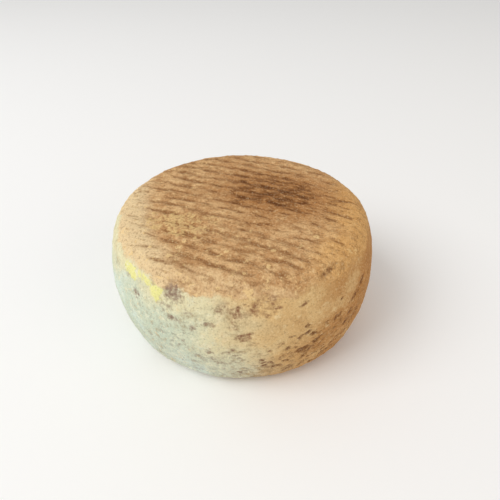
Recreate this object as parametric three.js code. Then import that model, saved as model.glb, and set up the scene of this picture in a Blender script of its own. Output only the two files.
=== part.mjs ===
// A whole wheel of pressed, natural-rind cheese: one solid of revolution with flat top and
// bottom faces, rounded shoulders and a side that bulges outwards.
// Millimetres, +Z up. The origin is the centre of the bottom face, on the shelf it stands on.
import * as THREE from "three";

// Driving dimensions
const DIAMETER = 250; // across the bulge, at mid height
const HEIGHT = 114; // between the top and bottom faces
const SHOULDER_RADIUS = 20.5; // rounding between each face and the side
const SIDE_RADIUS = 132; // upright arc of the bulging side

// How finely the round surface is faceted
const TURN_SEGMENTS = 96; // around the axis
const SHOULDER_STEPS = 7; // along each shoulder arc
const HALF_SIDE_STEPS = 6; // along the side arc, from the shoulder to mid height

const RIND = new THREE.MeshStandardMaterial({
  name: "natural_rind",
  color: 0xc39a66,
  roughness: 0.85,
  metalness: 0,
});

// Points along an arc, both ends included. Angles are measured from the outward direction.
function arc(centreR, centreZ, radius, fromAngle, toAngle, steps) {
  return Array.from({ length: steps + 1 }, (_, i) => {
    const angle = THREE.MathUtils.lerp(fromAngle, toAngle, i / steps);
    return new THREE.Vector2(
      centreR + radius * Math.cos(angle),
      centreZ + radius * Math.sin(angle),
    );
  });
}

// The right half of the wheel's upright section, from the axis at the bottom face to the axis at
// the top face. Each shoulder arc is tangent to a flat face and, inside the side arc, to the side.
function sectionOutline() {
  const half = HEIGHT / 2;
  const sideCentreR = DIAMETER / 2 - SIDE_RADIUS;
  const rise = half - SHOULDER_RADIUS; // shoulder centre above mid height
  const reach = Math.sqrt((SIDE_RADIUS - SHOULDER_RADIUS) ** 2 - rise ** 2);
  const faceRadius = sideCentreR + reach; // where a flat face ends and its shoulder starts
  const tangentAngle = Math.atan2(rise, reach); // where a shoulder passes into the side

  const upperHalf = [
    ...arc(sideCentreR, 0, SIDE_RADIUS, 0, tangentAngle, HALF_SIDE_STEPS),
    ...arc(faceRadius, rise, SHOULDER_RADIUS, tangentAngle, Math.PI / 2, SHOULDER_STEPS).slice(1),
    new THREE.Vector2(0, half),
  ];
  const lowerHalf = upperHalf
    .slice(1)
    .reverse()
    .map((p) => new THREE.Vector2(p.x, -p.y));
  return [...lowerHalf, ...upperHalf].map((p) => p.add(new THREE.Vector2(0, half)));
}

function cheeseWheel() {
  const geometry = new THREE.LatheGeometry(sectionOutline(), TURN_SEGMENTS);
  geometry.rotateX(Math.PI / 2); // the lathe turns about Y, and the wheel stands along Z
  const mesh = new THREE.Mesh(geometry, RIND);
  mesh.name = "cheese_wheel";
  return mesh;
}

const part = new THREE.Group();
part.add(cheeseWheel());

export default part;
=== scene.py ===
"""A wheel of pressed mountain cheese with a natural rind, standing on a pale studio floor.

The rind is one closed surface. Its plain shape is the wheel of the frame: two flat faces, rounded
shoulders and a side that bulges. On that shape lie the marks of how the cheese was made and kept:
the furrows that the draining mat left in the faces, the lumps and crumbs of the brushed crust, the
cracks and pits of the side, and the moulds that grew on it in the cellar.
"""

import math
from dataclasses import dataclass

import bpy
import numpy as np
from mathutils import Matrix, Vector


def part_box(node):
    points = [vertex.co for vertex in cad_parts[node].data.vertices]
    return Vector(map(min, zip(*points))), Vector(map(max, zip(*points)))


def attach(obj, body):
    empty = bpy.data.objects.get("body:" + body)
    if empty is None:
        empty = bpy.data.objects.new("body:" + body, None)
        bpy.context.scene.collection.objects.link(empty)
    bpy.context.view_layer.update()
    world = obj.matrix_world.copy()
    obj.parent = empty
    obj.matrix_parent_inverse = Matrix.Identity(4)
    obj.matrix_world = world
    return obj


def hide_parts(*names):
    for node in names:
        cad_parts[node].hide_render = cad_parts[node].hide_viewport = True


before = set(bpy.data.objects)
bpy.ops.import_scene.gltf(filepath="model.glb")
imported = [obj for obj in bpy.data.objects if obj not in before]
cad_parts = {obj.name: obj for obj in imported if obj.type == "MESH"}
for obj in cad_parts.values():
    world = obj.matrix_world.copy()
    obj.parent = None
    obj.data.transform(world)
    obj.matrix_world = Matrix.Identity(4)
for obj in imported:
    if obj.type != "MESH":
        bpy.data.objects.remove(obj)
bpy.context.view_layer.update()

MM = 0.001

# The wheel's plain shape
LOW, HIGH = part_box("cheese_wheel")
RADIUS = (HIGH.x - LOW.x) / 2
HEIGHT = HIGH.z - LOW.z
MIDDLE = Vector((0, 0, HEIGHT / 2))
SHOULDER_RADIUS = 20.5 * MM  # rounding between each face and the side
SIDE_RADIUS = 132 * MM  # upright arc of the bulging side
SIDE_CENTRE = RADIUS - SIDE_RADIUS  # distance of that arc's centre from the axis
SHOULDER_RISE = HEIGHT / 2 - SHOULDER_RADIUS  # a shoulder's centre above mid height
FACE_RADIUS = SIDE_CENTRE + math.sqrt((SIDE_RADIUS - SHOULDER_RADIUS) ** 2 - SHOULDER_RISE**2)
TANGENT_LEAN = math.atan2(SHOULDER_RISE, FACE_RADIUS - SIDE_CENTRE)

# How finely it is divided: about 1.4 mm a cell
FACE_CELLS = 140  # across each face, and along a quarter of the side
SIDE_ROWS = 98  # from the edge of the top face to the edge of the bottom face

# The draining mat's furrows
FURROW_PITCH = 12.6 * MM
FURROW_SHIFT = -0.9 * MM  # the furrow nearest the axis passes this far behind it
FURROW_HEADING = math.radians(-25)  # from +X
FURROW_BEND = 0.8  # how far they curve, in metres per square metre


# ---------------------------------------------------------------- working with whole arrays


def smooth(start, end, value):
    """0 before start, 1 after end and 3t^2 - 2t^3 between them. End may be the smaller one."""
    t = np.clip((value - start) / (end - start), 0, 1)
    return t * t * (3 - 2 * t)


def mix(a, b, share):
    """A where share is 0, B where it is 1, in proportion between."""
    return a + (b - a) * share


def waves(points, size, seed):
    """Smooth unevenness, from about -1 to 1, whose hills are about size metres across.

    Gradient noise: every corner of a cubic lattice has a random slope. A point's value is the sum
    over the eight corners of its cell of that corner's slope times the way from it, faded by
    6t^5 - 15t^4 + 10t^3 along each edge. The height brings usual hills up to 1.
    """
    count, height = 512, 1.8
    random = np.random.default_rng(seed)
    slopes = random.normal(size=(count, 3))
    slopes /= np.linalg.norm(slopes, axis=1, keepdims=True)
    order = random.permutation(count)
    cell = points / size + random.uniform(0, 100, 3)
    corner = np.floor(cell).astype(int)
    way = cell - corner
    fade = way**3 * (way * (way * 6 - 15) + 10)
    total = np.zeros(len(points))
    for step in np.ndindex(2, 2, 2):
        x, y, z = (corner + step).T
        slope = slopes[order[(order[(order[x % count] + y) % count] + z) % count]]
        near = np.prod(np.where(step, fade, 1 - fade), axis=1)
        total += near * np.sum(slope * (way - step), axis=1)
    return total * height


def clouds(points, size, seed, layers=3):
    """Layers of waves, each with hills half as wide and half as high as those before it."""
    parts = [waves(points, size / 2**i, seed + i) / 2**i for i in range(layers)]
    return sum(parts) / sum(0.5**i for i in range(layers))


# ---------------------------------------------------------------- the plain wheel


def face_plan(cells):
    """The plan of a round face, as the unit disc, with square rings of a grid turned into circles.

    The grid runs from -1 to 1 both ways. The point (a, b) goes out to radius max(|a|, |b|), and
    its angle from the middle of its ring's side is 45 degrees times the smaller over the larger.
    """
    a, b = np.meshgrid(*[np.linspace(-1, 1, cells + 1)] * 2, indexing="ij")
    wide = np.abs(a) >= np.abs(b)
    reach = np.where(wide, a, b)
    turn = math.pi / 4 * np.where(wide, b, a) / np.where(reach == 0, 1, reach)
    along, across = reach * np.cos(turn), reach * np.sin(turn)
    return np.where(wide, along, across), np.where(wide, across, along)


def side_profile(rows):
    """The wheel's upright outline from the top face's edge to the bottom face's edge.

    Each point is given by its lean, the angle of its normal above the horizontal, from 90 to -90
    degrees. It lies at centre + radius * (cos lean, sin lean), on the side's arc up to the tangent
    lean and on a shoulder's arc beyond it. The rows are equally far apart along the outline.
    """
    shoulder = SHOULDER_RADIUS * (math.pi / 2 - TANGENT_LEAN)
    side = SIDE_RADIUS * 2 * TANGENT_LEAN
    ends = np.cumsum([0, shoulder, side, shoulder])
    length = np.linspace(0, ends[-1], rows + 1)
    lean = np.interp(length, ends, [math.pi / 2, TANGENT_LEAN, -TANGENT_LEAN, -math.pi / 2])
    on_side = np.abs(lean) <= TANGENT_LEAN
    radius = np.where(on_side, SIDE_RADIUS, SHOULDER_RADIUS)
    out = np.where(on_side, SIDE_CENTRE, FACE_RADIUS) + radius * np.cos(lean)
    up = np.where(on_side, 0, np.sign(lean) * SHOULDER_RISE) + radius * np.sin(lean)
    return length, lean, out, up + HEIGHT / 2


def ring_order(cells):
    """The places of the outermost points of a face's grid, once round, counterclockwise."""
    place = np.arange((cells + 1) ** 2).reshape(cells + 1, cells + 1)
    return np.concatenate([place[:-1, 0], place[-1, :-1], place[:0:-1, -1], place[0, :0:-1]])


def quads(place):
    """The four corners of each cell of a grid of point numbers."""
    corners = [place[:-1, :-1], place[1:, :-1], place[1:, 1:], place[:-1, 1:]]
    return np.stack([c.ravel() for c in corners], axis=1)


def plain_wheel():
    """Points, outward normals, faces and a flat layout of the wheel, as arrays.

    A face is its plan times FACE_RADIUS. The side is the profile carried round the axis. It shares
    the faces' outermost points, so the surface is closed and has no seam.
    """
    plan_x, plan_y = (p.ravel() for p in face_plan(FACE_CELLS))
    length, lean, out, up = side_profile(SIDE_ROWS)
    ring = ring_order(FACE_CELLS)
    around = np.arctan2(plan_y[ring], plan_x[ring])
    count, columns = len(plan_x), len(ring)

    def carried_round(outward, upward):
        """The side's inner rows, each carried round the axis, as one list of x, y, z."""
        x, y = np.outer(outward, np.cos(around)), np.outer(outward, np.sin(around))
        return np.stack([x, y, np.outer(upward, np.ones(columns))], axis=-1).reshape(-1, 3)

    flat = np.zeros(count)
    top = np.stack([plan_x * FACE_RADIUS, plan_y * FACE_RADIUS, flat + HEIGHT], axis=1)
    bottom = top * (1, 1, 0)
    inner = slice(1, SIDE_ROWS)
    side = carried_round(out[inner], up[inner])
    side_normal = carried_round(np.cos(lean[inner]), np.sin(lean[inner]))
    upward = np.stack([flat, flat, flat + 1], axis=1)
    points = np.concatenate([top, side, bottom])
    normals = np.concatenate([upward, side_normal, -upward])

    grid = np.arange(count).reshape(FACE_CELLS + 1, FACE_CELLS + 1)
    first_bottom = len(points) - count
    inner_rows = np.arange(count, first_bottom).reshape(SIDE_ROWS - 1, columns)
    band = np.vstack([ring, inner_rows, ring + first_bottom])
    band = np.column_stack([band, band[:, 0]])
    faces = [quads(grid), quads(band), quads(grid + first_bottom)[:, ::-1]]

    layout = flat_layout(plan_x, plan_y, length, columns, faces)
    return points, normals, np.concatenate(faces), layout


def flat_layout(plan_x, plan_y, length, columns, faces):
    """Where each face corner lies when the rind is laid out flat in a unit square.

    The two faces lie side by side as discs at their true size. Below them lies the side, cut into
    two strips, each as long as half the way round the wheel at its widest.
    """
    gap = 3 * MM
    half_turn = math.pi * RADIUS
    strip = length[-1]
    square = strip * 2 + FACE_RADIUS * 2 + gap * 4
    middle = square - gap - FACE_RADIUS

    def disc(corners, x):
        across = x + plan_x[corners] * FACE_RADIUS
        up = middle + plan_y[corners] * FACE_RADIUS
        return np.stack([across, up], axis=-1)

    top = disc(faces[0], gap + FACE_RADIUS)
    bottom = disc(faces[2] - faces[2].min(), gap * 2 + FACE_RADIUS * 3)
    column, row = np.meshgrid(np.arange(columns), np.arange(len(length) - 1))
    column, row = column.ravel(), row.ravel()
    steps = np.array([(0, 0), (0, 1), (1, 1), (1, 0)])  # columns and rows on, for each corner
    half = columns // 2
    second = (column >= half)[:, None]
    across = (column % half)[:, None] + steps[:, 0]
    down = length[row[:, None] + steps[:, 1]]
    side_x = gap + across / half * half_turn
    side_y = np.where(second, strip, strip * 2 + gap) + gap - down
    side = np.stack([side_x, side_y], axis=-1)
    return np.concatenate([top, side, bottom]).reshape(-1, 2) / square


# ---------------------------------------------------------------- marks on the rind

MARKS = ("crust", "bloom_and_light", "green", "grey", "amber_and_shade", "furrow", "pit", "pitting", "raised")
MARKS += ("painted_shadow", "gold", "pale", "yellow")


class Rind:
    """The plain wheel's points with the measures that the marks are placed by.

    azimuth is in degrees from the front, -Y, growing to the right. height is in metres from the
    floor, and above from mid height. lean is 1 on the top face, 0 at mid height and -1 on the
    bottom face. Three layers of clouds move the marks' edges: edge those of the large marks, ragged
    those of the small ones, and patchy the moulds' and the honey's.
    """

    def __init__(self, points, normals):
        self.points = points
        self.x, self.y, self.height = points.T
        self.above = self.height - HEIGHT / 2
        self.lean = normals[:, 2]
        self.reach = np.hypot(self.x, self.y)
        self.azimuth = np.degrees(np.arctan2(self.x, -self.y))
        self.edge = clouds(points, 26 * MM, 24, 4)
        self.ragged = 0.60 * clouds(points, 4.5 * MM, 21, 2)
        self.patchy = 0.22 * clouds(points, 50 * MM, 28, 3)

    def face_share(self):
        """1 on the flat faces, 0 on the side, changing over the shoulders."""
        return smooth(0.30, 0.85, np.abs(self.lean))

    def toward(self, azimuth):
        """1 on the side that faces that azimuth, -1 on the opposite side: the cosine between.

        Inside the faces it fades to 0 at the axis, in proportion to the distance from it.
        """
        return np.cos(np.radians(self.azimuth - azimuth)) * np.minimum(self.reach / FACE_RADIUS, 1)

    def by_furrows(self, x=0.0, y=0.0):
        """Distances from the place x, y: along the furrows to the right, and across them back."""
        cos, sin = math.cos(FURROW_HEADING), math.sin(FURROW_HEADING)
        right, back = self.x - x, self.y - y
        return right * cos + back * sin, back * cos - right * sin


@dataclass
class Spot:
    """A ragged oval mark on the side: its place, half length, half height and tilt.

    Azimuth and tilt are in degrees, the rest in metres. A positive tilt lifts the right end.
    """

    azimuth: float
    height: float
    half_length: float
    half_height: float
    tilt: float
    strength: float

    def cover(self, rind, ragged):
        """Its strength inside the oval, falling slowly to nothing past its edge.

        The distance from its middle is in half lengths and half heights, and ragged waves are
        added to it.
        """
        round_way = (rind.azimuth - self.azimuth + 180) % 360 - 180
        right = np.radians(round_way) * rind.reach
        up = rind.height - self.height
        turn = math.radians(self.tilt)
        long_way = (right * math.cos(turn) + up * math.sin(turn)) / self.half_length
        short_way = (up * math.cos(turn) - right * math.sin(turn)) / self.half_height
        return self.strength * smooth(1.9, 0.4, np.hypot(long_way, short_way) + ragged)


LARGER_PITS = (
    # on the left, in the bloom
    Spot(-27, 99 * MM, 8.5 * MM, 7.0 * MM, 0, 1.0),
    Spot(-52, 93 * MM, 3.0 * MM, 4.0 * MM, 0, 0.75),
    Spot(-46, 81 * MM, 5.0 * MM, 4.0 * MM, 0, 0.8),
    Spot(-33, 88 * MM, 5.0 * MM, 3.0 * MM, -20, 0.7),
    Spot(-27, 77 * MM, 4.8 * MM, 2.6 * MM, -12, 1.0),
    Spot(-21, 86 * MM, 4.5 * MM, 3.5 * MM, 0, 0.6),
    Spot(-33, 58 * MM, 3.2 * MM, 2.6 * MM, -10, 0.9),
    Spot(-40, 45 * MM, 3.5 * MM, 2.6 * MM, -20, 0.75),
    # in front, below the crust's edge
    Spot(-11, 79 * MM, 1.8 * MM, 1.5 * MM, 0, 0.85),
    Spot(-7, 97 * MM, 5.0 * MM, 3.4 * MM, 20, 0.7),
    Spot(-3, 93 * MM, 6.0 * MM, 3.6 * MM, 25, 0.85),
    Spot(4, 95 * MM, 5.5 * MM, 3.0 * MM, 20, 0.8),
    Spot(5, 90 * MM, 3.6 * MM, 1.8 * MM, 0, 0.8),
    Spot(12, 94 * MM, 5.0 * MM, 1.6 * MM, 5, 0.75),
    Spot(23, 92 * MM, 4.8 * MM, 1.7 * MM, 18, 0.8),
    Spot(2, 73 * MM, 2.8 * MM, 1.2 * MM, 10, 1.0),
    Spot(-4, 84 * MM, 2.4 * MM, 1.8 * MM, 0, 0.8),
    # in front, half way up
    Spot(24, 63 * MM, 3.0 * MM, 1.9 * MM, 20, 1.0),
    Spot(16, 51 * MM, 3.4 * MM, 2.1 * MM, 20, 1.0),
    Spot(29, 50 * MM, 5.2 * MM, 1.8 * MM, 22, 1.0),
    Spot(-6, 52 * MM, 4.0 * MM, 2.4 * MM, 0, 0.75),
    # near the foot
    Spot(10, 35 * MM, 3.0 * MM, 2.8 * MM, 0, 0.95),
    Spot(-2, 21 * MM, 2.6 * MM, 3.4 * MM, 0, 0.9),
    Spot(-20, 18 * MM, 4.0 * MM, 4.0 * MM, 0, 0.7),
    Spot(-39, 19 * MM, 4.0 * MM, 4.0 * MM, 0, 0.7),
    # on the right
    Spot(38, 65 * MM, 5.0 * MM, 2.8 * MM, 30, 0.8),
    Spot(47, 60 * MM, 6.0 * MM, 2.6 * MM, 25, 0.8),
    Spot(54, 79 * MM, 5.0 * MM, 3.0 * MM, 20, 0.75),
    Spot(36, 108 * MM, 10.0 * MM, 1.7 * MM, 8, 0.8),  # a crease on the right shoulder
)

YELLOW_SPOTS = (
    Spot(-50, 98 * MM, 10.0 * MM, 5.0 * MM, -5, 1.0),
    Spot(-42, 100 * MM, 9.0 * MM, 3.4 * MM, -8, 0.9),
    Spot(-35, 94 * MM, 6.5 * MM, 6.5 * MM, -20, 1.0),
    Spot(-48, 79 * MM, 3.0 * MM, 2.0 * MM, 0, 0.6),
)


def strongest(spots, rind, ragged):
    """Where spots overlap, the strongest one counts."""
    cover = np.zeros(len(rind.height))
    for spot in spots:
        cover = np.maximum(cover, spot.cover(rind, ragged))
    return cover


def scattered_spots(count, seed, azimuths, heights, usual=1.5 * MM):
    """Spots strewn over part of the side: long ways across, and more of them low down.

    Usual is the middle value of their half heights. The farther right of the front a spot is, the
    more its right end is lifted.
    """
    random = np.random.default_rng(seed)
    spots = []
    for _ in range(count):
        azimuth = random.uniform(*azimuths)
        height = mix(*heights, random.beta(1.2, 1.7))
        size = random.lognormal(0, 0.42) * usual
        stretch = random.uniform(1.2, 2.8)
        tilt = random.normal(0, 12) + np.clip(azimuth * 0.8, -25, 28)
        strength = random.uniform(0.5, 1.0)
        spots.append(Spot(azimuth, height, size * stretch, size, tilt, strength))
    return spots


def crust_cover(rind):
    """The tan crust. It lies on the faces and comes over the shoulders to a ragged edge.

    It follows the distance from mid height: nothing up to start, and all of it from end on. Those
    are close together at the front, where the edge is crisp, and higher on the left. Below mid
    height the distance is cut by short, so that the crust comes less far up from the foot. The
    underside is covered to its own edge.
    """
    short = 16 * MM
    from_mid = np.where(rind.above > 0, rind.above, -rind.above - short)
    crisp = smooth(0.80, 0.96, rind.toward(-20))
    high = smooth(0.80, 0.97, rind.toward(-85))
    start = mix(mix(31 * MM, 40 * MM, crisp), 44 * MM, high)
    end = mix(mix(58 * MM, 50 * MM, crisp), 58 * MM, high)
    underside = smooth(-0.80, -0.97, rind.lean + 0.08 * rind.edge)
    return np.maximum(smooth(start, end, from_mid + rind.edge * 7 * MM), underside)


def moulds_and_light(rind):
    """The pale bloom on the left and front of the side, its green part and its grey part. Each is
    partly
    mould and partly painted light: the side that faces the window light is painted paler and greener,
    and the foot greyer and darker, as painted shade.

    The bloom grows toward the left and downwards, by 2.5 for each metre. It is greenest below the
    crust on the left, and greyest near the foot.
    """
    drift = rind.patchy - 2.5 * rind.above
    bloom_and_light = smooth(-0.25, 0.56, rind.toward(-78) + drift)
    green = smooth(0.15, 1.05, rind.toward(-72) + drift)
    green = green * smooth(56 * MM, 6 * MM, rind.above + 16 * MM * rind.edge)
    grey = smooth(22 * MM, -48 * MM, rind.above) * smooth(-0.2, 0.6, rind.toward(-30))
    return bloom_and_light, green, grey


def honey_brown_and_shade(rind):
    """Honey brown, which grows to the right and fades upwards above mid height, by 5 a metre. It is
    partly the rind's colour and partly painted shade on the side away from the window light.
    """
    return smooth(0.05, 1.0, rind.toward(76) - rind.patchy - 5.0 * np.maximum(rind.above, 0))


def furrows(rind):
    """How deep the mat's furrows are pressed in, from 0 to 1.

    A point's place across the furrows is c = across + bend * along^2. A furrow is a groove
    exp(-(d / w)^2) of its distance d, in pitches, from the nearest whole c / pitch. Waves shift it
    sideways, and stretched ones break it up along its length. The furrows end past the faces' rim,
    sooner on the right and later in front. One place, right of the middle, is worn flatter.
    """
    along, across = rind.by_furrows()
    bent = across + FURROW_BEND * along**2 - FURROW_SHIFT
    flat_points = np.stack([along, across, rind.height * 3], axis=1)
    shift = 0.13 * waves(flat_points, 45 * MM, 11) + 0.13 * waves(flat_points, 11 * MM, 12)
    turns = bent / FURROW_PITCH + shift
    gap = turns - np.round(turns)
    width = 0.25 + 0.08 * waves(flat_points, 17 * MM, 13)
    broken = 0.20 + 0.80 * smooth(-0.60, 0.35, clouds(flat_points / (2.0, 1, 1), 11 * MM, 14, 3))
    to_rim = rind.reach + 3 * MM * waves(rind.points, 20 * MM, 15)
    to_rim += 5 * MM * smooth(0.5, 1, rind.toward(65)) - 7 * MM * smooth(0.3, 1, rind.toward(-25))
    on_face = smooth(FACE_RADIUS * 1.15, FACE_RADIUS * 1.02, to_rim)
    on_face = on_face * smooth(0.45, 0.75, np.abs(rind.lean))
    worn = np.hypot(rind.x - 0.45 * RADIUS, rind.y + 0.10 * RADIUS) / (0.40 * RADIUS)
    return np.exp(-((gap / width) ** 2)) * broken * on_face * (1 - 0.45 * np.exp(-(worn**2)))


def pits(rind, green):
    """Pits of the side: the larger ones, and small ones strewn about.

    Where pits overlap, the deeper one counts. The small ones are shallower in the green, and fade
    out over the shoulders.
    """
    small = scattered_spots(220, 41, (-180, 180), (7 * MM, 96 * MM))  # all round
    small += scattered_spots(24, 43, (-9, 12), (87 * MM, 103 * MM))  # at the crust's edge in front
    small += scattered_spots(90, 47, (-28, 38), (10 * MM, 68 * MM))  # low in front
    small += scattered_spots(80, 53, (95, 250), (8 * MM, 92 * MM))  # behind
    strewn = strongest(small, rind, rind.ragged) * (1 - 0.45 * green)
    strewn = strewn * smooth(0.75, 0.45, np.abs(rind.lean))
    return np.maximum(strongest(LARGER_PITS, rind, rind.ragged), strewn)


def top_crumbs(rind):
    """Crumbs strewn near the front rim of the top: 1 in each one's middle, 0 from 1.7 sizes on."""
    count = 9
    random = np.random.default_rng(59)
    cover = np.zeros(len(rind.height))
    for _ in range(count):
        azimuth = math.radians(random.uniform(-50, 55))
        reach = random.uniform(0.55, 0.80) * RADIUS
        size = random.uniform(1.8, 2.6) * MM
        right, back = rind.x - reach * math.sin(azimuth), rind.y + reach * math.cos(azimuth)
        cover = np.maximum(cover, smooth(1.7, 0.5, np.hypot(right, back) / size + rind.ragged))
    return cover * (rind.lean > 0)


def raised_skin(rind, pit):
    """Rough skin that stands up: small flat lumps all over the side, flakes and crumbs. The colour
    paints highlights on them.
    """
    lumps = smooth(0.20, 0.80, waves(rind.points * (1, 1, 1.7), 7 * MM, 91))
    lumps *= smooth(0.95, 0.75, np.abs(rind.lean)) * (1 - pit)
    flakes = scattered_spots(10, 61, (6, 44), (66 * MM, 106 * MM), 1.9 * MM)
    flakes = strongest(flakes, rind, rind.ragged) * (1 - pit)
    return np.maximum(np.maximum(lumps, flakes), top_crumbs(rind))


def painted_top_shadow(rind):
    """Painted shadow on the top, brown, behind the middle and to the right.

    It is exp(-d^2) of the distance d from its middle, in half lengths along the furrows and half
    widths across them. A weaker round one lies in front of it.
    """
    along, across = rind.by_furrows(0.27 * RADIUS, 0.15 * RADIUS)
    away = np.hypot(along / (0.50 * RADIUS), across / (0.36 * RADIUS)) + 0.25 * rind.edge
    before = np.hypot(rind.x - 0.12 * RADIUS, rind.y + 0.20 * RADIUS) / (0.26 * RADIUS)
    return np.maximum(np.exp(-(away**2)), 0.45 * np.exp(-(before**2))) * (rind.lean > 0)


def golden_patch(rind):
    """An oval patch of golden flakes on the top, in front of the middle and to the left."""
    right, back = rind.x + 0.45 * RADIUS, rind.y + 0.26 * RADIUS
    away = np.hypot(right / 0.34, back / 0.22) / RADIUS + 0.5 * clouds(rind.points, 14 * MM, 51, 3)
    return smooth(1.4, 0.4, away) * (rind.lean > 0.8)


def pale_and_lit_rims(rind):
    """The crust is palest along the left rim, partly as painted light from the left, and a little pale
    along the front one.
    """
    outward = rind.reach / FACE_RADIUS
    left = smooth(0.46, 1.04, rind.toward(-75) * outward + 0.10 * rind.edge)
    front = smooth(0.82, 1.10, rind.toward(-18) * outward + 0.10 * rind.edge)
    return np.maximum(left, 0.55 * front)


def marks(rind):
    """Every mark of the rind as a share from 0 to 1, by name.

    Pitting is where the side gets more pores and more brown mottle, low in front and a little to
    the right.
    """
    bloom_and_light, green, grey = moulds_and_light(rind)
    pit = pits(rind, green)
    pitting = smooth(0.2, 0.9, rind.toward(15)) * smooth(30 * MM, -10 * MM, rind.above)
    yellow = strongest(YELLOW_SPOTS, rind, 0.6 * clouds(rind.points, 7 * MM, 61, 3))
    found = (crust_cover(rind), bloom_and_light, green, grey, honey_brown_and_shade(rind), furrows(rind), pit, pitting)
    found += (raised_skin(rind, pit), painted_top_shadow(rind), golden_patch(rind), pale_and_lit_rims(rind), yellow)
    return dict(zip(MARKS, found))


def relief(rind, mark):
    """How far the rind stands out from the plain wheel, in metres.

    It is the sum of the wheel's slight sag out of true, the raised places less the pits, and on
    the faces the crust's lumps, crumbs, golden flakes and ridges between the mat's furrows, or on
    the side its own lower lumps less its dents.
    """
    p = rind.points
    sag = 0.9 * waves(p, 95 * MM, 71) + 0.45 * waves(p, 38 * MM, 72)
    lumps = 0.60 * clouds(p, 9 * MM, 74, 3)
    crumbs = smooth(0.30, 0.75, waves(p, 4.2 * MM, 78)) * 0.55
    flakes = 0.8 * mark["gold"] * smooth(-0.1, 0.6, waves(p, 7 * MM, 79))
    ridges = 0.35 - 1.05 * mark["furrow"]
    on_face = lumps + crumbs + flakes + ridges * smooth(0.6, 0.95, np.abs(rind.lean))
    side_lumps = 0.26 * clouds(p * (1, 1, 1.6), 13 * MM, 81, 3)
    dents = 0.35 * smooth(0.25, 0.7, waves(p, 21 * MM, 85))
    skin = mix(side_lumps - dents, on_face, rind.face_share())
    return (sag + skin + 0.35 * mark["raised"] - 1.0 * mark["pit"]) * MM


def set_down(points):
    """Presses the lowest lumps flat on the floor, at height 0."""
    return np.maximum(points, (-np.inf, -np.inf, 0))


# ---------------------------------------------------------------- the piece


def rind_mesh(name):
    """The finished rind as one mesh, with its marks as attributes and its flat layout as a UV map."""
    points, normals, faces, layout = plain_wheel()
    rind = Rind(points, normals)
    mark = marks(rind)
    points = set_down(points + normals * relief(rind, mark)[:, None])

    mesh = bpy.data.meshes.new(name)
    mesh.vertices.add(len(points))
    mesh.vertices.foreach_set("co", points.ravel().astype(np.float32))
    mesh.loops.add(faces.size)
    mesh.loops.foreach_set("vertex_index", faces.ravel().astype(np.int32))
    mesh.polygons.add(len(faces))
    starts = np.arange(0, faces.size, faces.shape[1], dtype=np.int32)
    mesh.polygons.foreach_set("loop_start", starts)
    mesh.update(calc_edges=True)
    mesh.validate()
    mesh.shade_smooth()
    mesh.uv_layers.new(name="OFBake").data.foreach_set("uv", layout.ravel().astype(np.float32))
    for key, share in mark.items():
        mesh.attributes.new(key, "FLOAT", "POINT").data.foreach_set("value", share.astype(np.float32))
    return mesh


def colour(hex_code):
    """A colour given as sRGB hex, as linear red, green, blue and full alpha."""
    parts = [int(hex_code[i : i + 2], 16) / 255 for i in (1, 3, 5)]
    return [c / 12.92 if c <= 0.04045 else ((c + 0.055) / 1.055) ** 2.4 for c in parts] + [1.0]


def add(tree, kind, settings, links=()):
    """Adds a node. Settings are its properties and unlinked inputs, links its linked inputs."""
    node = tree.nodes.new(kind)
    for key, value in settings.items():
        if isinstance(key, int) or key in node.inputs:
            node.inputs[key].default_value = value
        else:
            setattr(node, key, value)
    for key, source in dict(links).items():
        tree.links.new(source, node.inputs[key])
    return node


def paint(tree, ground, coats, follows):
    """Lays coats of colour over a ground, in order, and gives the colour that comes out.

    A coat is (colour, {what it follows: weight}, start, end, most). It covers by the weighted sum
    of what it follows: nothing up to start, and most from end on, with 3t^2 - 2t^3 between them.
    A colour is sRGB hex, or the outcome of another painting. Each Math node adds its weight times
    what it follows to the total.
    """
    factor, under, over = 0, 6, 7  # the inputs of a Mix node that mixes colours
    for tint, weights, start, end, most in coats:
        total = None
        for name, weight in weights.items():
            settings = {"operation": "MULTIPLY_ADD", 1: weight, 2: 0.0}
            links = {0: follows[name]}
            if total is not None:
                links[2] = total
            total = add(tree, "ShaderNodeMath", settings, links).outputs[0]
        settings = {"interpolation_type": "SMOOTHSTEP", "From Min": start, "From Max": end}
        settings |= {"To Min": 0.0, "To Max": most}
        cover = add(tree, "ShaderNodeMapRange", settings, {"Value": total}).outputs[0]
        settings, links = {"data_type": "RGBA"}, {factor: cover}
        for socket, value in ((under, ground), (over, tint)):
            if isinstance(value, str):
                settings[socket] = colour(value)
            else:
                links[socket] = value
        ground = add(tree, "ShaderNodeMix", settings, links).outputs[2]
    return ground


# Coats of colour, as paint lays them. The crust of the faces is tan, with brown in its furrows,
# painted shade in the hollows between its crumbs, and painted highlights on the crumbs.
FURROW_BROWN = {"furrow": 0.75, "streak": 1.1, "mottle": 0.6, "pale": -0.28, "amber_and_shade": -0.08}
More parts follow.
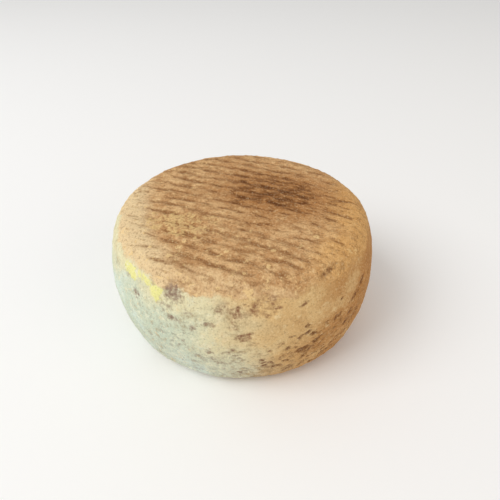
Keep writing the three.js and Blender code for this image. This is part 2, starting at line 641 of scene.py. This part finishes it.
# painted highlights on the crumbs, where the crumb grain stands highest
PAINTED_CRUMB_HIGHLIGHTS = {"crumb": 1.0, "mottle": 0.6, "amber_and_shade": -0.1, "painted_shadow": -0.2, "raised": 0.3}
CRUST_COATS = (
    ("#e0b682", {"mottle": 1.0, "cloud": 0.5}, 0.63, 0.87, 1.0),  # light tan patches
    ("#e0ac67", {"amber_and_shade": 0.8, "cloud": 0.6}, 0.40, 1.00, 0.75),  # honey on the right, partly painted shade
    ("#efd6a8", {"pale": 1.0, "mottle": 0.5}, 0.35, 1.34, 0.82),  # the pale rims, the left one partly painted light
    ("#996a3c", {"streak": 1.0, "mottle": 0.4, "pale": -0.04}, 0.69, 0.86, 0.52),  # brown streaks
    ("#a9703a", {"painted_shadow": 1.0, "cloud": 0.5}, 0.35, 1.00, 0.75),  # the painted shadow on the top
    ("#84562f", FURROW_BROWN, 0.92, 1.50, 0.66),  # furrows
    ("#f0cd90", PAINTED_CRUMB_HIGHLIGHTS, 0.90, 1.04, 0.65),  # painted highlights on the crumbs
    ("#643817", {"painted_shadow": 0.8, "streak": 1.8, "furrow": 0.3}, 1.35, 1.95, 0.88),  # the darkest of the painted shadow
    ("#7a502c", {"crumb": -1.0, "mottle": -0.3}, -0.60, -0.46, 0.38),  # painted shade in the hollows between crumbs
    ("#dfbc80", {"gold": 0.55, "crumb": 0.8, "mottle": 1.1}, 1.38, 1.62, 0.85),  # golden flakes
)

# The bare side is honey, deepening to the right, partly as painted shade on the side away from the
# window light.
HONEY_COATS = (
    ("#c08a50", {"amber_and_shade": 1.0, "cloud": 0.5}, 0.35, 1.25, 1.0),  # deeper to the right, partly painted shade
    ("#a06c36", {"cloud": 1.0, "mottle": 0.6, "amber_and_shade": 0.1, "crust": -0.4}, 0.86, 1.10, 0.45),  # brown
    ("#e8c78f", {"cloud": -1.0, "crumb": -0.5}, -0.74, -0.57, 0.45),  # light patches
)

# Bloom is cream mould, greener on the left, greyer towards the foot. The pale green of the left is
# partly painted light from the left, and the grey of the foot partly painted shade.
BLOOM_COATS = (
    ("#cbd7c2", {"green": 0.8, "cloud": 1.0, "mottle": 0.5}, 0.70, 1.55, 0.95),  # the green part, partly painted light from the left
    ("#c8cbba", {"grey": 1.0, "mottle": 0.4}, 0.35, 1.30, 0.60),  # the grey part, partly painted shade at the foot
    ("#d9e8dd", {"cloud": -1.0, "green": 0.20}, -0.36, -0.20, 0.65),  # cold patches
    ("#b3a27c", {"mottle": 1.0, "cloud": 0.8, "green": -0.06}, 0.90, 1.16, 0.70),  # thin places
    ("#f6f1d2", {"mottle": -1.0, "crumb": -0.5}, -0.72, -0.58, 0.50),  # cream tufts
)

# Pits are brown, greyer where bloom has grown into them, darkest in the honey of the right, partly as
# painted shade.
PIT_COATS = (
    ("#8e7363", {"bloom_and_light": 1.0, "cloud": 0.3}, 0.60, 1.15, 1.0),  # bloom in them
    ("#64361a", {"amber_and_shade": 1.0, "cloud": 0.3}, 0.15, 0.65, 1.0),  # in the honey, partly painted shade
)

# Grain of the rind: name, usual size, detail, roughness, stretch, and how far it is turned
LEVEL = (0.0, 0.0, 0.0)
EVEN = (1.0, 1.0, 1.0)
ALONG_FURROWS = (0.0, 0.0, FURROW_HEADING)
GRAINS = (
    ("grit", 1.5 * MM, 1.0, 0.5, EVEN, LEVEL),  # dust, coarser than the real one, so that it shows
    ("crumb", 2.8 * MM, 2.0, 0.6, EVEN, LEVEL),  # crumbs of the brushed crust
    ("mottle", 6.5 * MM, 5.0, 0.68, EVEN, LEVEL),  # drier and damper specks
    ("streak", 5.0 * MM, 4.0, 0.62, (2.4, 1.0, 1.0), ALONG_FURROWS),  # brown drawn out by the mat
    ("pore", 3.2 * MM, 3.0, 0.6, (1.6, 1.6, 1.0), LEVEL),  # pores, wider than they are high
    ("cloud", 24.0 * MM, 5.0, 0.62, (1.3, 1.3, 1.0), LEVEL),  # broad patches of growth
)


def rind_patterns(tree):
    """What the coats follow, by name: the mesh's marks, and the grains, which lie in space."""
    place = add(tree, "ShaderNodeTexCoord", {}).outputs["Object"]
    follows = {}
    for name in MARKS:
        follows[name] = add(tree, "ShaderNodeAttribute", {"attribute_name": name}).outputs["Fac"]
    for name, size, detail, rough, stretch, turn in GRAINS:
        spread = {"vector_type": "TEXTURE", "Rotation": turn, "Scale": stretch}
        where = add(tree, "ShaderNodeMapping", spread, {"Vector": place}).outputs[0]
        grain = {"Scale": 1 / size, "Detail": detail, "Roughness": rough}
        follows[name] = add(tree, "ShaderNodeTexNoise", grain, {"Vector": where}).outputs["Fac"]
    return follows


def rind_colour(tree, follows):
    """Lays bloom, crust and pits, each painted on its own, over the honey of the bare side."""
    crust = paint(tree, "#c49462", CRUST_COATS, follows)
    bloom_and_light = paint(tree, "#e4dab0", BLOOM_COATS, follows)
    speck = paint(tree, "#82523a", PIT_COATS, follows)
    skin = (
        # the bloom, partly painted light on the side that faces the window light
        (bloom_and_light, {"bloom_and_light": 1.0, "cloud": 0.6, "mottle": 0.5}, 0.66, 1.44, 1.0),
        # painted highlights on the raised lumps, flakes and crumbs
        ("#f4dcaa", {"raised": 0.40, "crumb": 0.8, "mottle": 0.4, "amber_and_shade": -0.12}, 0.75, 1.10, 0.55),
        # brown mottle, more of it low in front and a little to the right
        ("#b58f60", {"mottle": 1.0, "cloud": 0.5, "pitting": 0.15, "green": -0.15}, 0.82, 1.12, 0.55),
        (speck, {"pore": 1.0, "pitting": 0.11, "green": -0.07}, 0.61, 0.82, 0.45),  # pores
        (crust, {"crust": 1.0, "mottle": 0.7, "crumb": 0.5}, 0.93, 1.30, 1.0),
        (speck, {"pit": 1.0, "crumb": 1.5, "pore": 1.0, "green": -0.10}, 1.45, 2.55, 0.95),  # pits
        ("#f0ea98", {"yellow": 1.5, "crumb": 1.6, "grit": 1.2}, 2.15, 2.85, 0.95),  # yellow mould
        ("#6d4a2c", {"grit": 1.0}, 0.52, 0.80, 0.32),  # dark grit
        ("#ffe9ba", {"grit": -1.0}, -0.48, -0.20, 0.28),  # pale dust
    )
    return paint(tree, paint(tree, "#dfb980", HONEY_COATS, follows), skin, follows)


def rind_grit(tree, follows):
    """Grain too fine for the mesh, as a bent normal: (name, depth in mm, strength) of each."""
    normal = None
    for name, depth, strength in (("mottle", 2.0, 0.8), ("crumb", 1.2, 0.7), ("grit", 0.4, 0.6)):
        links = {"Height": follows[name]}
        if normal is not None:
            links["Normal"] = normal
        settings = {"Strength": strength, "Distance": depth * MM}
        normal = add(tree, "ShaderNodeBump", settings, links).outputs[0]
    return normal


def natural_rind():
    """Natural cheese rind: dried paste and mould, brushed by hand in the cellar.

    It gives the eye a dry, dull, warm tan that is nowhere even: painted highlights lie on the crumbs,
    painted shade, a darker brown, lies in the hollows between them, and a pale bloom with a breath of
    green lies over the left of the side, partly mould and partly painted light from the left. Dry
    mould scatters light evenly, and the rubbed crust is a little smoother in places.
    """
    material = bpy.data.materials.new("natural_rind")
    material.use_nodes = True
    tree = material.node_tree
    tree.nodes.clear()
    follows = rind_patterns(tree)
    outcome = rind_colour(tree, follows)
    dryness = {"From Min": 0.35, "From Max": 0.65, "To Min": 0.76, "To Max": 0.92}
    dullness = add(tree, "ShaderNodeMapRange", dryness, {"Value": follows["mottle"]}).outputs[0]
    links = {"Base Color": outcome, "Roughness": dullness, "Normal": rind_grit(tree, follows)}
    settings = {"Metallic": 0.0, "IOR": 1.45, "Specular IOR Level": 0.15}
    shader = add(tree, "ShaderNodeBsdfPrincipled", settings, links)
    add(tree, "ShaderNodeOutputMaterial", {}, {"Surface": shader.outputs[0]})
    return material


def build_rind():
    """The rind in its material, in place of the wheel's CAD solid."""
    piece = bpy.data.objects.new("rind", rind_mesh("rind"))
    bpy.context.scene.collection.objects.link(piece)
    piece.data.materials.append(natural_rind())
    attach(piece, "root")
    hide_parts("cheese_wheel")


# ---------------------------------------------------------------- studio


def pale_paper():
    """Matt white paper: an even, dull, nearly white ground."""
    material = bpy.data.materials.new("white_paper")
    material.use_nodes = True
    shader = material.node_tree.nodes["Principled BSDF"]
    shader.inputs["Base Color"].default_value = colour("#fbfaf8")
    shader.inputs["Roughness"].default_value = 0.95
    return material


def build_floor():
    """A wide flat sheet of paper whose far edge is out of sight."""
    reach = 6.0  # each way from the middle
    corners = [(-reach, -reach, 0), (reach, -reach, 0), (reach, reach, 0), (-reach, reach, 0)]
    mesh = bpy.data.meshes.new("floor")
    mesh.from_pydata(corners, [], [(0, 1, 2, 3)])
    floor = bpy.data.objects.new("floor", mesh)
    bpy.context.scene.collection.objects.link(floor)
    mesh.materials.append(pale_paper())


def aim(thing, target):
    """Turns a lamp or a camera so that it looks at the target."""
    thing.rotation_euler = (Vector(target) - thing.location).to_track_quat("-Z", "Y").to_euler()


def from_middle(azimuth, elevation, distance):
    """A place that far from the wheel's middle. Azimuth is in degrees from the front, to the right."""
    a, e = math.radians(azimuth), math.radians(elevation)
    way = Vector((math.sin(a) * math.cos(e), -math.cos(a) * math.cos(e), math.sin(e)))
    return MIDDLE + distance * way


def soft_box(name, azimuth, elevation, distance, size, power, tint):
    """A square lamp that looks at the wheel's middle."""
    lamp = bpy.data.lights.new(name, "AREA")
    lamp.size = size
    lamp.energy = power
    lamp.color = colour(tint)[:3]
    box = bpy.data.objects.new(name, lamp)
    box.location = from_middle(azimuth, elevation, distance)
    bpy.context.scene.collection.objects.link(box)
    aim(box, MIDDLE)


def build_lights():
    """Cool window light from the left, weak warm light from the right, and an evenly lit room."""
    soft_box("window_light", -68, 46, distance=3.4, size=2.2, power=62.0, tint="#fbfdff")
    soft_box("warm_fill", 60, 30, distance=3.0, size=2.0, power=10.0, tint="#ffe6c8")
    world = bpy.data.worlds.new("room")
    world.use_nodes = True
    sky = world.node_tree.nodes["Background"]
    sky.inputs["Color"].default_value = colour("#ffffff")
    sky.inputs["Strength"].default_value = 0.58
    bpy.context.scene.world = world
    bpy.context.scene.view_settings.view_transform = "Standard"


def build_camera():
    """Looks down on the wheel from the front, close enough that its near edge looms a little."""
    lens = bpy.data.cameras.new("camera")
    lens.sensor_width = 36
    lens.lens = 32.4
    camera = bpy.data.objects.new("camera", lens)
    camera.location = from_middle(0, elevation=37.35, distance=3.61 * RADIUS)
    bpy.context.scene.collection.objects.link(camera)
    beside = Vector((0.056, 0, 0.027)) * RADIUS  # it looks a little right of the middle and above
    aim(camera, MIDDLE + beside)
    bpy.context.scene.camera = camera


build_rind()
build_floor()
build_lights()
build_camera()

bpy.context.view_layer.update()
